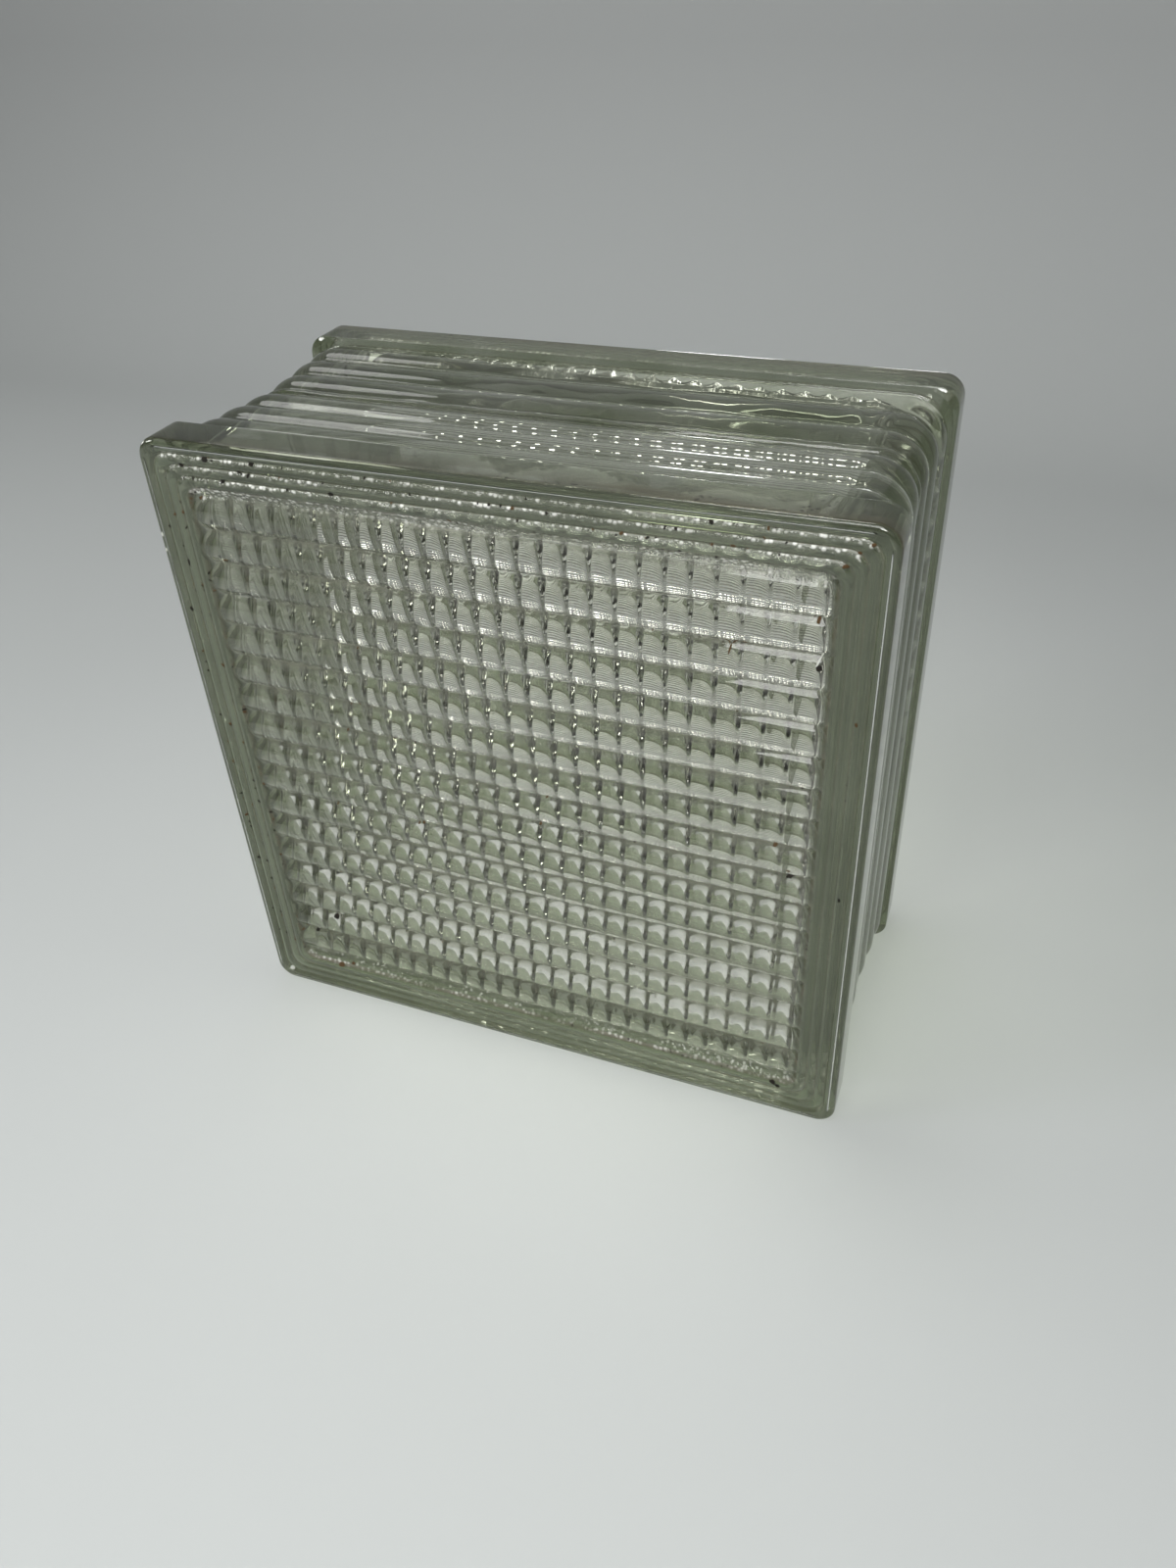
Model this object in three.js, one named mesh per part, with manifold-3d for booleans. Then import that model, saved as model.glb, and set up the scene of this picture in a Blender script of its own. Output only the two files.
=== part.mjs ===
// Glass block, 7 3/4 x 7 3/4 x 3 7/8 in, made of two pressed glass half shells that are fused
// rim to rim round a sealed air space. Each half has a lip round its face, a beaded frame,
// horizontal reeds outside and vertical reeds inside, and ribbed side walls that key the mortar.
// Millimetres, +Z up. The block stands on the edges of its two lips, with its first face
// towards -Y. The origin is the middle of the footprint.

import * as THREE from 'three';
import { mergeVertices } from 'three/addons/utils/BufferGeometryUtils.js';
import Module from 'manifold-3d';

const wasm = await Module();
wasm.setup();

// ---------------------------------------------------------------- driving dimensions

const FACE_WIDTH = 196.85;
const FACE_HEIGHT = 196.85;
const BLOCK_DEPTH = 98.43;

// Lip round each face: the flat edges that carry the block and meet the mortar bed.
const LIP_WIDTH = 12.7;
const LIP_CORNER_RADIUS = 6;
const LIP_EDGE_RADIUS = 1.5;
const LIP_BACK_SLOPE = 0.7;

// Side wall between lip and seam: convex ribs on a wall that dishes in towards the seam.
const SIDE_RIBS = 3;
const SIDE_RIB_HEIGHT = 1.1;
const SIDE_RECESS_AT_LIP = 2.4;
const SIDE_RECESS_AT_SEAM = 4.0;
const SIDE_CORNER_RADIUS = 11;

// Weld bead at the seam: each rim swells by this much, outside and inside, over this length.
const WELD_RISE = 0.8;
const WELD_LENGTH = 1.8;

// Frame on the face: a flat land, then beads with grooves between, then the slope to the panel.
const LAND_WIDTH = 3.7;
const LAND_BEVEL = 0.5;
const FRAME_BEADS = 3;
const BEAD_PITCH = 2.95;
const BEAD_HEIGHT = 0.7;
const BEAD_GROOVE_DEPTH = 0.95;
const BEAD_CORNER_RADIUS = 5.2;
const BEAD_CORNER_STEP = 0.5;
const PANEL_INSET = 15.7;
const PANEL_DEPTH = 3.6;

// Horizontal reeds on the outside of the panel.
const OUTER_REEDS = 17;
const OUTER_REED_HEIGHT = 2.8;

// Vertical reeds on the inside of the panel.
const INNER_REEDS = 26;
const INNER_REED_HEIGHT = 1.1;

// Air space: its floor lies at the foot of the inner reeds, and its walls open out to the seam.
const FACE_TO_AIR_SPACE = 8.6;
const AIR_SPACE_INSET = 13.2;
const SEAM_WALL = 5.4;
const AIR_SPACE_CORNER_RADIUS = 6;
const AIR_SPACE_SEAM_RADIUS = 9;
const AIR_SPACE_FILLET = 2.4;

// Facets.
const CORNER_STEPS = 8;
const EDGE_STEPS = 3;
const BEAD_STEPS = 5;
const SIDE_RIB_STEPS = 8;
const WELD_STEPS = 3;
const OUTER_REED_STEPS = 8;
const INNER_REED_STEPS = 6;
const FILLET_STEPS = 3;

// The plain floors under the reeds lie this far below the grooves, inside the glass.
const REED_ROOT = 0.5;

// The tool that hollows out the air space runs this far past the seam.
const PAST_SEAM = 1;

// ---------------------------------------------------------------- derived dimensions

const SHELL_DEPTH = BLOCK_DEPTH / 2;
const SIDE_RIB_START = LIP_WIDTH + LIP_BACK_SLOPE;
const WELD_START = SHELL_DEPTH - WELD_LENGTH;
const FRAME_END = LAND_WIDTH + FRAME_BEADS * BEAD_PITCH;
const PANEL_WIDTH = FACE_WIDTH - 2 * PANEL_INSET;
const PANEL_HEIGHT = FACE_HEIGHT - 2 * PANEL_INSET;
const SEAM_INSET = SIDE_RECESS_AT_SEAM + SEAM_WALL;
const PANEL_CORNER_RADIUS = BEAD_CORNER_RADIUS - (FRAME_BEADS + 1) * BEAD_CORNER_STEP;
const FRAME_SLOPE = (PANEL_INSET - FRAME_END) / (PANEL_DEPTH - BEAD_GROOVE_DEPTH);

// ---------------------------------------------------------------- solids

function solidFrom(geometry) {
  for (const name of ['normal', 'uv']) geometry.deleteAttribute(name);
  const merged = mergeVertices(geometry, 1e-4);
  const mesh = new wasm.Mesh({
    numProp: 3,
    vertProperties: new Float32Array(merged.attributes.position.array),
    triVerts: new Uint32Array(merged.index.array),
  });
  return new wasm.Manifold(mesh);
}

function geometryFrom(solid) {
  const { vertProperties, triVerts } = solid.getMesh();
  const geometry = new THREE.BufferGeometry();
  geometry.setAttribute('position', new THREE.BufferAttribute(vertProperties, 3));
  geometry.setIndex(new THREE.BufferAttribute(triVerts, 1));
  geometry.computeVertexNormals();
  return geometry;
}

// Height above its chord, at a fraction of the chord, of a circular arc that rises to `rise`.
function arcRise(fraction, chord, rise) {
  const radius = (chord * chord / 4 + rise * rise) / (2 * rise);
  const across = (fraction - 0.5) * chord;
  return Math.sqrt(radius * radius - across * across) - (radius - rise);
}

// A point of a quarter circle of radius 1, at a step of the way round it.
function quarter(step, steps) {
  const angle = (step / steps) * Math.PI / 2;
  return { across: Math.cos(angle), along: Math.sin(angle) };
}

// One closed section of the block: a rounded rectangle, inset from the outline of the face,
// in the plane at `depth` behind the face.
function section(depth, inset, radius) {
  return { depth, inset, radius };
}

function sectionPoints({ depth, inset, radius }) {
  const halfWidth = FACE_WIDTH / 2 - inset;
  const halfHeight = FACE_HEIGHT / 2 - inset;
  const points = [];
  for (let corner = 0; corner < 4; corner += 1) {
    const sideX = corner === 0 || corner === 3 ? 1 : -1;
    const sideZ = corner < 2 ? 1 : -1;
    for (let step = 0; step <= CORNER_STEPS; step += 1) {
      const angle = (corner + step / CORNER_STEPS) * Math.PI / 2;
      const x = sideX * (halfWidth - radius) + radius * Math.cos(angle);
      const z = sideZ * (halfHeight - radius) + radius * Math.sin(angle);
      points.push(new THREE.Vector3(x, depth, z));
    }
  }
  return points;
}

// A closed solid lofted through sections, with a flat cap on the first and the last.
function loft(sections) {
  const rings = sections.map(sectionPoints);
  const count = rings[0].length;
  const positions = rings.flat().flatMap((point) => point.toArray());
  const indices = [];
  for (let ring = 0; ring + 1 < rings.length; ring += 1) {
    for (let i = 0; i < count; i += 1) {
      const a = ring * count + i;
      const b = ring * count + (i + 1) % count;
      indices.push(a, a + count, b, b, a + count, b + count);
    }
  }
  const first = positions.length / 3;
  const last = first + 1;
  positions.push(0, sections[0].depth, 0, 0, sections[sections.length - 1].depth, 0);
  const lastRing = (rings.length - 1) * count;
  for (let i = 0; i < count; i += 1) {
    const next = (i + 1) % count;
    indices.push(first, i, next);
    indices.push(last, lastRing + next, lastRing + i);
  }
  const geometry = new THREE.BufferGeometry();
  geometry.setAttribute('position', new THREE.Float32BufferAttribute(positions, 3));
  geometry.setIndex(indices);
  return solidFrom(geometry);
}

// A bank of parallel convex reeds with a flat back: the reeds stand side by side along X,
// rise along +Y from y = 0, and run along Z. Its back lies `backing` below the grooves.
function reedBank({ count, span, rise, steps, length, backing }) {
  const pitch = span / count;
  const outline = new THREE.Shape();
  outline.moveTo(-span / 2, -backing);
  outline.lineTo(span / 2, -backing);
  for (let reed = count - 1; reed >= 0; reed -= 1) {
    for (let step = 0; step <= steps; step += 1) {
      const fraction = 1 - step / steps;
      const x = -span / 2 + (reed + fraction) * pitch;
      if (step > 0 || reed === count - 1) outline.lineTo(x, arcRise(fraction, pitch, rise));
    }
  }
  const geometry = new THREE.ExtrudeGeometry(outline, { depth: length, bevelEnabled: false });
  geometry.translate(0, 0, -length / 2);
  return solidFrom(geometry);
}

// ---------------------------------------------------------------- one half shell

// The rounded front edge of the lip, from the side of the block to the flat land.
function lipEdgeSections() {
  const sections = [];
  for (let step = 0; step <= EDGE_STEPS; step += 1) {
    const { across, along } = quarter(step, EDGE_STEPS);
    const inset = LIP_EDGE_RADIUS * (1 - along);
    sections.push(section(LIP_EDGE_RADIUS * (1 - across), inset, LIP_CORNER_RADIUS - inset));
  }
  return sections;
}

// The land, the beads and the slope down to the panel, from the panel outwards.
function frameSections() {
  const floorInset = PANEL_INSET + REED_ROOT * FRAME_SLOPE;
  const sections = [section(PANEL_DEPTH + REED_ROOT, floorInset, PANEL_CORNER_RADIUS)];
  for (let bead = FRAME_BEADS - 1; bead >= 0; bead -= 1) {
    for (let step = 0; step < BEAD_STEPS; step += 1) {
      const fraction = 1 - step / BEAD_STEPS;
      const inset = LAND_WIDTH + (bead + fraction) * BEAD_PITCH;
      const depth = BEAD_GROOVE_DEPTH - arcRise(fraction, BEAD_PITCH, BEAD_HEIGHT);
      sections.push(section(depth, inset, BEAD_CORNER_RADIUS - (bead + fraction) * BEAD_CORNER_STEP));
    }
  }
  sections.push(section(BEAD_GROOVE_DEPTH, LAND_WIDTH, BEAD_CORNER_RADIUS));
  sections.push(section(0, LAND_WIDTH - LAND_BEVEL, BEAD_CORNER_RADIUS));
  return sections;
}

// The swollen rim, from the start of the weld to the seam, of a wall face at `inset`. Its glass
// swells towards `side`: -1 is out of the block, 1 is into the air space.
function weldSections(inset, radius, side) {
  const sections = [];
  for (let step = 1; step <= WELD_STEPS; step += 1) {
    const { across, along } = quarter(step, WELD_STEPS);
    const depth = SHELL_DEPTH - WELD_LENGTH * across;
    sections.push(section(depth, inset + side * WELD_RISE * along, radius));
  }
  return sections;
}

// The side of the shell: the back of the lip, the ribs, then the weld bead up to the seam.
function sideSections() {
  const sections = [section(LIP_WIDTH, 0, LIP_CORNER_RADIUS)];
  const ribPitch = (WELD_START - SIDE_RIB_START) / SIDE_RIBS;
  for (let rib = 0; rib < SIDE_RIBS; rib += 1) {
    for (let step = rib === 0 ? 0 : 1; step <= SIDE_RIB_STEPS; step += 1) {
      const fraction = step / SIDE_RIB_STEPS;
      const along = (rib + fraction) / SIDE_RIBS;
      const dish = THREE.MathUtils.lerp(SIDE_RECESS_AT_LIP, SIDE_RECESS_AT_SEAM, along);
      const recess = dish - arcRise(fraction, ribPitch, SIDE_RIB_HEIGHT);
      sections.push(section(SIDE_RIB_START + (rib + fraction) * ribPitch, recess, SIDE_CORNER_RADIUS));
    }
  }
  return [...sections, ...weldSections(SIDE_RECESS_AT_SEAM, SIDE_CORNER_RADIUS, -1)];
}

function outerBody() {
  return loft([...frameSections(), ...lipEdgeSections(), ...sideSections()]);
}

// The air space of one shell, from the panel to the seam, with a fillet round its floor.
function airSpace() {
  const sections = [];
  for (let step = 0; step <= FILLET_STEPS; step += 1) {
    const { across, along } = quarter(step, FILLET_STEPS);
    const depth = FACE_TO_AIR_SPACE - REED_ROOT + AIR_SPACE_FILLET * (1 - across);
    const inset = AIR_SPACE_INSET + AIR_SPACE_FILLET * (1 - along);
    sections.push(section(depth, inset, AIR_SPACE_CORNER_RADIUS));
  }
  sections.push(section(WELD_START, SEAM_INSET, AIR_SPACE_SEAM_RADIUS));
  sections.push(...weldSections(SEAM_INSET, AIR_SPACE_SEAM_RADIUS, 1));
  const seam = sections[sections.length - 1];
  sections.push(section(SHELL_DEPTH + PAST_SEAM, seam.inset, seam.radius));
  return loft(sections);
}

// Horizontal reeds: the bank turned so that it rises towards -Y and runs along X. Its ends
// lie under the crest of the last bead, so that each reed runs out in a tongue on its flank.
function outerReeds() {
  const length = FACE_WIDTH - 2 * (FRAME_END - BEAD_PITCH / 2);
  const bank = reedBank({
    count: OUTER_REEDS,
    span: PANEL_HEIGHT,
    rise: OUTER_REED_HEIGHT,
    steps: OUTER_REED_STEPS,
    length,
    backing: OUTER_REED_HEIGHT,
  });
  return bank.rotate([0, 90, 0]).rotate([180, 0, 0]).translate([0, PANEL_DEPTH, 0]);
}

// Vertical reeds: they rise from the inner face of the panel into the air space.
function innerReeds() {
  const bank = reedBank({
    count: INNER_REEDS,
    span: PANEL_WIDTH,
    rise: INNER_REED_HEIGHT,
    steps: INNER_REED_STEPS,
    length: FACE_HEIGHT - 2 * AIR_SPACE_INSET - AIR_SPACE_FILLET,
    backing: INNER_REED_HEIGHT,
  });
  return bank.translate([0, FACE_TO_AIR_SPACE, 0]);
}

function halfShell() {
  const tray = outerBody().subtract(airSpace());
  return geometryFrom(tray.add(outerReeds()).add(innerReeds()));
}

// ---------------------------------------------------------------- the block

const pressedGlass = new THREE.MeshStandardMaterial({
  color: 0x9aa394,
  roughness: 0.08,
  metalness: 0,
  transparent: true,
  opacity: 0.45,
});

const block = new THREE.Group();
const shellGeometry = halfShell();

for (const [name, turn] of [['front_shell', 0], ['back_shell', Math.PI]]) {
  const shell = new THREE.Mesh(shellGeometry, pressedGlass);
  shell.name = name;
  shell.position.y = -SHELL_DEPTH;
  const half = new THREE.Group();
  half.add(shell);
  half.rotation.z = turn;
  half.position.z = FACE_HEIGHT / 2;
  block.add(half);
}

export default block;
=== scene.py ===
import math

import bmesh
import bpy
import numpy as np
from mathutils import Matrix, Vector, noise


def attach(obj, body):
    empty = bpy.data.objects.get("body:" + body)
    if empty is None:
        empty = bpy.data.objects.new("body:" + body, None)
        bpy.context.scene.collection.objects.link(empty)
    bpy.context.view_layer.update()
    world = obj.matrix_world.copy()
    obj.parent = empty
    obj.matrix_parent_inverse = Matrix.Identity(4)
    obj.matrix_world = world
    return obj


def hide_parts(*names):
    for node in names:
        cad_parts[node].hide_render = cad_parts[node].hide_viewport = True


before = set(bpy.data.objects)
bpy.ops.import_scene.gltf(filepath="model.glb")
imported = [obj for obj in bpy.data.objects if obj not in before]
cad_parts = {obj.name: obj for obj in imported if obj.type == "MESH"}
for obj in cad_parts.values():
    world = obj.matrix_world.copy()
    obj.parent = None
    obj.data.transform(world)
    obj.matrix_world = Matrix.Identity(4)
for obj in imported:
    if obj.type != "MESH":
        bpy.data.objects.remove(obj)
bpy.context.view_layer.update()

# ---------------------------------------------------------------- dimensions, in millimetres

MM = 0.001
FACE = 196.85
BLOCK_DEPTH = 98.43
HALF = FACE / 2
SHELL_DEPTH = BLOCK_DEPTH / 2

LIP_WIDTH = 12.7
LIP_CORNER_RADIUS = 6.0
LIP_EDGE_RADIUS = 1.5
LIP_BACK_EASE = 0.3
LIP_BACK_DROP = 0.12
LIP_BACK_SLOPE = 0.7

SIDE_RIBS = 3
SIDE_RIB_HEIGHT = 1.1
SIDE_RECESS_AT_LIP = 2.4
SIDE_RECESS_AT_SEAM = 4.0
SIDE_CORNER_RADIUS = 11.0
WELD_RISE = 0.8
WELD_LENGTH = 1.8

LAND_WIDTH = 3.7
LAND_BEVEL = 0.5
FRAME_BEADS = 3
BEAD_PITCH = 2.95
BEAD_HEIGHT = 0.7
BEAD_GROOVE_DEPTH = 0.95
BEAD_CORNER_RADIUS = 5.2
BEAD_CORNER_STEP = 0.5
PANEL_INSET = 15.7
PANEL_DEPTH = 3.6
REED_ROOT = 0.5

OUTER_REEDS = 17
OUTER_REED_HEIGHT = 2.8
INNER_REEDS = 26
INNER_REED_HEIGHT = 1.1

FACE_TO_AIR_SPACE = 8.6
AIR_SPACE_INSET = 13.2
SEAM_WALL = 5.4
AIR_SPACE_CORNER_RADIUS = 6.0
AIR_SPACE_SEAM_RADIUS = 9.0
AIR_SPACE_FILLET = 2.4

FRAME_END = LAND_WIDTH + FRAME_BEADS * BEAD_PITCH
LAST_CREST = FRAME_END - BEAD_PITCH / 2
PANEL_SPAN = FACE - 2 * PANEL_INSET
SEAM_INSET = SIDE_RECESS_AT_SEAM + SEAM_WALL
AIR_SPACE_FLOOR = FACE_TO_AIR_SPACE - REED_ROOT

# How far pressing and fire polishing soften the edges, as the spread of a Gaussian, and how far
# reeds and frame blend into each other.
FACE_SOFTNESS = 0.17
SIDE_SOFTNESS = 0.22
BLEND = 0.5

# How far from the seam its waviness reaches, and the waves in it, out and along: height, waves to
# a millimetre, and where in the noise they start.
WELD_REACH = 3.2
WAVES_OUT = ((0.24, 0.11, (0, 0, 0)), (0.16, 0.34, (0, 0, 0)))
WAVES_ALONG = ((0.55, 0.09, (7, 3, 1)), (0.2, 0.3, (0, 0, 0)))

# How steeply a reed runs out past the panel's edge.
REED_RUN_OUT = 2.0

# How finely the face's and the side's profiles are sampled, how far in from the lip's edge the
# face's goes, and the largest gap between a section and the chords that stand for it.
PROFILE_STEP = 0.02
SIDE_STEP = 0.05
PROFILE_END = 24.0
SECTION_ERROR = 0.012

# Grid lines of the panel's two sheets: spacing at the ends of the reeds and between, how wide the
# ends are, steps to a reed, and how near to a groove the nearest line is.
OUTER_END_STEP, OUTER_STEP, OUTER_ENDS, STEPS_TO_OUTER_REED = 0.36, 13.0, 6.5, 11
INNER_END_STEP, INNER_STEP, INNER_ENDS, STEPS_TO_INNER_REED = 0.45, 30.0, 4.0, 7
GROOVE_GAP = 0.22

# How far the inner sheet stops short of the air space's wall, and how much of the face's profile
# is left out where the rings meet the outer sheet and the lip's edge.
INNER_SHEET_GAP = 0.35
CREST_GAP = 0.15
LIP_EDGE_GAP = 0.3

# The most that a rounded corner takes off an inset, and how often halving looks for it.
WIDEST_CORNER_CUT = 5.0
HALVINGS = 26

# What counts as the face and as the right side: how far behind the lip's plane, and how far in.
FACE_REACH = PANEL_DEPTH + 0.2
RIGHT_SIDE_REACH = 8

# Haze against inset on the face, and on the sides with the right one apart: an olive film that is
# partly painted shade. Its share against place, heavier to the left and at the bottom as painted
# shade: across for the upright parts, up for the level ones.
HAZE_AND_SHADE_ON_FACE = ([0, 1, 12.0, 13.5, 16.5], [0.5, 1, 1, 0.4, 0])
HAZE_AND_SHADE_ON_SIDES, HAZE_AND_SHADE_ON_RIGHT_SIDE = 0.7, 1.3
HAZE_AND_SHADE_ACROSS = ([-80, 80], [1.5, 1.2])
HAZE_AND_SHADE_UP = ([-80, 80], [1.7, 0.75])

# Dirt against depth, between the reeds and between the beads, which also paints shade into the
# grooves. Painted highlight on the slopes against inset and height, and on the beads against how
# steeply they rise.
DIRT_AND_SHADE_AT_REEDS = ([1.5, 3.4], [0, 1])
DIRT_AND_SHADE_AT_BEADS = ([0.55, 0.9], [0, 1.5])
HIGHLIGHT_ON_SLOPES = ([12.2, 13.0, 15.4, 16.2], [0, 1, 1, 0])
HIGHLIGHT_UP = ([-60, 60], [0.45, 1])
HIGHLIGHT_ON_RISE = 1.6


# ---------------------------------------------------------------- profiles


def arc_rise(fraction, chord, rise):
    """Height above its chord of a circular arc that rises to rise."""
    radius = (chord**2 / 4 + rise**2) / (2 * rise)
    across = (fraction - 0.5) * chord
    return np.sqrt(radius**2 - across**2) - (radius - rise)


def softened(values, step, spread):
    """A sampled profile with its edges rounded by a Gaussian."""
    reach = int(4 * spread / step)
    kernel = np.exp(-0.5 * (np.arange(-reach, reach + 1) * step / spread) ** 2)
    padded = np.pad(values, reach, mode="reflect", reflect_type="odd")
    return np.convolve(padded, kernel / kernel.sum(), mode="valid")


def frame_profile():
    """Depth behind the face against inset: land, beads, slope and the floor under the reeds."""
    inset = np.arange(0.0, PROFILE_END, PROFILE_STEP)
    depth = np.zeros_like(inset)
    bevel_start = LAND_WIDTH - LAND_BEVEL
    on_bevel = (inset >= bevel_start) & (inset < LAND_WIDTH)
    depth[on_bevel] = BEAD_GROOVE_DEPTH * (inset[on_bevel] - bevel_start) / LAND_BEVEL
    on_beads = (inset >= LAND_WIDTH) & (inset < FRAME_END)
    fraction = ((inset[on_beads] - LAND_WIDTH) / BEAD_PITCH) % 1.0
    depth[on_beads] = BEAD_GROOVE_DEPTH - arc_rise(fraction, BEAD_PITCH, BEAD_HEIGHT)
    slope = (PANEL_DEPTH - BEAD_GROOVE_DEPTH) / (PANEL_INSET - FRAME_END)
    beyond = inset >= FRAME_END
    under_reeds = PANEL_DEPTH + REED_ROOT
    depth[beyond] = np.minimum(BEAD_GROOVE_DEPTH + slope * (inset[beyond] - FRAME_END), under_reeds)
    return inset, softened(depth, PROFILE_STEP, FACE_SOFTNESS)


def reed_profile(count, rise):
    """Height of a bank of reeds above its grooves, against the place across the bank."""
    pitch = PANEL_SPAN / count
    across = np.arange(-PANEL_SPAN / 2, PANEL_SPAN / 2, PROFILE_STEP)
    fraction = ((across + PANEL_SPAN / 2) / pitch) % 1.0
    return across, softened(arc_rise(fraction, pitch, rise), PROFILE_STEP, FACE_SOFTNESS)


def fillet_profile():
    """Depth of the air space's floor behind the face, against inset."""
    inset = np.arange(AIR_SPACE_INSET, PROFILE_END, PROFILE_STEP)
    toe = AIR_SPACE_INSET + AIR_SPACE_FILLET
    across = np.clip((toe - inset) / AIR_SPACE_FILLET, 0.0, 1.0)
    return inset, AIR_SPACE_FLOOR + AIR_SPACE_FILLET * (1 - np.sqrt(1 - across**2))


FRAME_TABLE = frame_profile()
OUTER_TABLE = reed_profile(OUTER_REEDS, OUTER_REED_HEIGHT)
INNER_TABLE = reed_profile(INNER_REEDS, INNER_REED_HEIGHT)
FILLET_TABLE = fillet_profile()


def soft_min(a, b):
    """The smaller of two values, blended where they are close."""
    share = np.clip(0.5 + 0.5 * (b - a) / BLEND, 0.0, 1.0)
    return b * (1 - share) + a * share - BLEND * share * (1 - share)


def bead_radius(inset):
    """Corner radius of the frame's lines at an inset."""
    beads = np.clip((inset - LAND_WIDTH) / BEAD_PITCH, 0, FRAME_BEADS + 1)
    return BEAD_CORNER_RADIUS - beads * BEAD_CORNER_STEP


def inset_of(x, z, radius_at):
    """The inset of the rounded square that passes through each point, found by halving."""
    most = HALF - np.maximum(np.abs(x), np.abs(z))
    low, high = most - WIDEST_CORNER_CUT, most.copy()
    for _ in range(HALVINGS):
        middle = (low + high) / 2
        radius = radius_at(middle)
        core = HALF - middle - radius
        ax, az = np.abs(x) - core, np.abs(z) - core
        out = np.hypot(np.maximum(ax, 0), np.maximum(az, 0)) + np.minimum(np.maximum(ax, az), 0)
        outside = out > radius
        high = np.where(outside, middle, high)
        low = np.where(outside, low, middle)
    return (low + high) / 2


def outer_depth(x, z):
    """Depth of the face's glass surface: frame and reeds, pressed into one soft form."""
    frame_depth = np.interp(inset_of(x, z, bead_radius), *FRAME_TABLE)
    past = np.maximum(np.abs(z) - PANEL_SPAN / 2, 0)
    reeds = PANEL_DEPTH - np.interp(z, *OUTER_TABLE) + REED_RUN_OUT * past
    return soft_min(frame_depth, reeds)


def inner_depth(x, z):
    """Depth of the air space's floor: vertical reeds that run out into the fillet."""
    fillet = np.interp(inset_of(x, z, lambda inset: AIR_SPACE_CORNER_RADIUS), *FILLET_TABLE)
    past = np.maximum(np.abs(x) - PANEL_SPAN / 2, 0)
    reeds = FACE_TO_AIR_SPACE + np.interp(x, *INNER_TABLE) - REED_RUN_OUT * past
    return -soft_min(-fillet, -reeds)


# ---------------------------------------------------------------- rings and grids


def spread_lines(start, end, step):
    """Evenly spaced values from start to end, about step apart."""
    return np.linspace(start, end, max(2, int(round(abs(end - start) / step)) + 1))


def reed_lines(count, steps, half):
    """Grid lines across a bank of reeds: steps to a reed, closer at the grooves, out to half."""
    pitch = PANEL_SPAN / count
    near = GROOVE_GAP / pitch
    inside = np.linspace(near, 1 - near, steps + 1)
    lines = [-PANEL_SPAN / 2 + (reed + f) * pitch for reed in range(count) for f in [0, *inside]]
    lines.append(PANEL_SPAN / 2)
    outer = spread_lines(PANEL_SPAN / 2, half, OUTER_END_STEP)[1:]
    return np.array([*(-outer[::-1]), *lines, *outer])


def end_lines(half, dense_from, dense, sparse):
    """Grid lines along a bank of reeds: dense at its ends, sparse between."""
    ends = spread_lines(dense_from, half, dense)
    middle = spread_lines(-dense_from, dense_from, sparse)[1:-1]
    return np.array([*(-ends[::-1]), *middle, *ends])


def both_ways(fractions):
    """Fractions of half a side, from its middle, carried on to its other half."""
    return np.array([*(-fractions[:0:-1]), *fractions])


# Where a ring's points lie along each side of the block: close together at the corners.
CORNER = np.array([0.888, 0.904, 0.92, 0.936, 0.952, 0.968, 0.984, 1.0])
COARSE = both_ways(np.array([*np.arange(9) * 0.09, 0.8, 0.86, *CORNER]))
FINE = both_ways(np.array([*np.linspace(0, 0.86, 40), *CORNER]))


def rounded(across, along, radius):
    """Points near a square's corner, moved on to its rounded corner. across is the half size."""
    start = across - radius
    turn = np.clip((np.abs(along) - start) / np.maximum(radius, 1e-9), 0, 1) * np.pi / 4
    moved_along = np.sign(along) * (start + radius * np.sin(turn))
    moved_across = start + radius * np.cos(turn)
    on_corner = np.abs(along) > start
    return np.where(on_corner, moved_across, across), np.where(on_corner, moved_along, along)


def loop_points(half, radius, fractions):
    """A loop round the block: points at these fractions of each side, and their places on it.

    The places count 0 to 4 round the loop, one for each side: right, top, left and bottom.
    """
    xs, zs, places = [], [], []
    for side, way in enumerate((1, -1, -1, 1)):
        along_side = fractions[::way][:-1]
        across, along = rounded(half, along_side * half, radius)
        across = across if side < 2 else -across
        xs.append(along if side % 2 else across)
        zs.append(across if side % 2 else along)
        places.append(side + (way * along_side + 1) / 2)
    return np.concatenate(xs), np.concatenate(zs), np.concatenate(places)


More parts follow.
